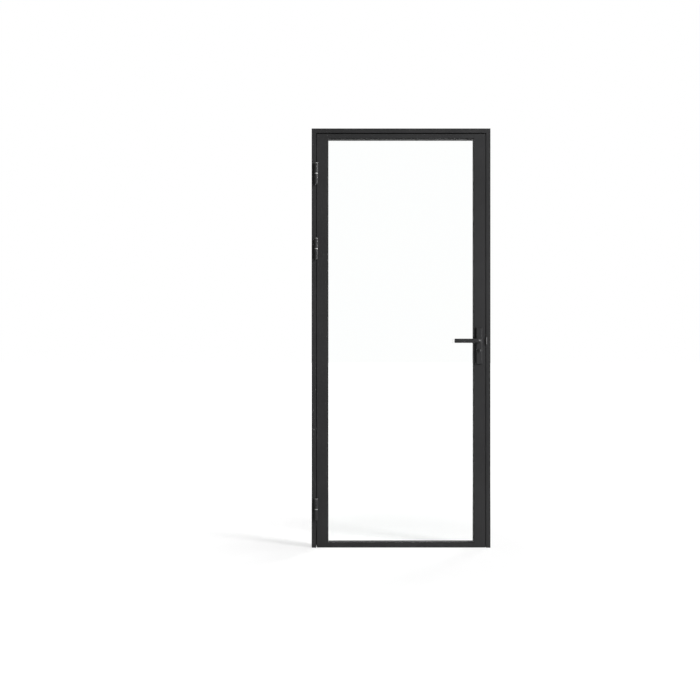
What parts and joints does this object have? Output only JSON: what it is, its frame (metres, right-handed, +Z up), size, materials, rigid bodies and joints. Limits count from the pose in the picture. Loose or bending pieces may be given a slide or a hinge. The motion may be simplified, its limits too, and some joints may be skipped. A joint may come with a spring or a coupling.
{
  "type": "framed glass door",
  "caption": "Dark powder-coated steel-framed glass door, closed in its rebated frame, with barrel hinges, lever handles on long plates, a thumbturn, a latch bolt, a deadbolt and a strike plate.",
  "frame": {"origin": "on the floor, midway across the frame and midway through the leaf's thickness", "axes": "+X to the right seen from the pull side, +Y from the pull side to the push side, +Z up"},
  "size_m": [0.9, 0.1695, 2.11],
  "materials": {
    "powder_coat": "fine matt powder coat, anthracite black",
    "black_rubber": "black EPDM",
    "clear_glass": "clear toughened float glass",
    "bright_steel": "bright zinc-plated or stainless steel",
    "setting_plastic": "black hard plastic"
  },
  "bodies": {
    "frame": {"hinge_jamb": "powder_coat", "lock_jamb": "powder_coat", "head": "powder_coat", "stop_seals": "black_rubber", "hinge_lower_knuckles": "powder_coat", "hinge_pins": "bright_steel", "hinge_washers": "bright_steel", "strike_plate": "bright_steel", "strike_screws": "bright_steel", "strike_lugs": "bright_steel"},
    "leaf": {"hinge_stile": "powder_coat", "lock_stile": "powder_coat", "bottom_rail": "powder_coat", "top_rail": "powder_coat", "glass_pane": "clear_glass", "outer_gasket": "black_rubber", "inner_gasket": "black_rubber", "setting_blocks": "setting_plastic", "upright_beads": "powder_coat", "level_beads": "powder_coat", "floor_seal": "black_rubber", "hinge_upper_knuckles": "powder_coat", "lock_case": "bright_steel", "lock_cover": "bright_steel", "faceplate": "bright_steel", "faceplate_screws": "bright_steel", "lock_lugs": "bright_steel", "latch_spring": "bright_steel", "front_plate": "powder_coat", "back_plate": "powder_coat", "plate_bolts": "bright_steel"},
    "handle": {"front_lever": "powder_coat", "back_lever": "powder_coat", "lever_spindle": "bright_steel", "latch_follower": "bright_steel", "grub_screws": "bright_steel"},
    "latch": {"latch_bolt": "bright_steel"},
    "thumbturn": {"thumbturn": "powder_coat", "release_disc": "powder_coat", "turn_spindle": "bright_steel", "turn_follower": "bright_steel"},
    "deadbolt": {"deadbolt": "bright_steel"}
  },
  "joints": [
    {"name": "door_swing", "type": "hinge", "parent": "frame", "child": "leaf", "pos_m": [-0.426, -0.0335, 1], "axis": [0, 0, -1], "range_deg": [0, 170]},
    {"name": "lever_turn", "type": "hinge", "parent": "leaf", "child": "handle", "pos_m": [0.3925, 0, 1.041], "axis": [0, -1, 0], "range_deg": [0, 40], "stiffness_Nm_per_rad": 2, "springref_deg": -34.38},
    {"name": "latch_slide", "type": "slide", "parent": "leaf", "child": "latch", "axis": [-1, 0, 0], "range_m": [0, 0.012], "deforming": ["latch_spring"]},
    {"name": "thumbturn_turn", "type": "hinge", "parent": "leaf", "child": "thumbturn", "pos_m": [0.3925, 0, 0.991], "axis": [0, 1, 0], "range_deg": [0, 90]},
    {"name": "deadbolt_slide", "type": "slide", "parent": "leaf", "child": "deadbolt", "axis": [1, 0, 0], "range_m": [0, 0.012]}
  ],
  "couplings": [
    {"joint": "latch_slide", "follows": "lever_turn", "m_per_rad": 0.017189},
    {"joint": "thumbturn_turn", "follows": "deadbolt_slide", "rad_per_m": 130.9}
  ]
}
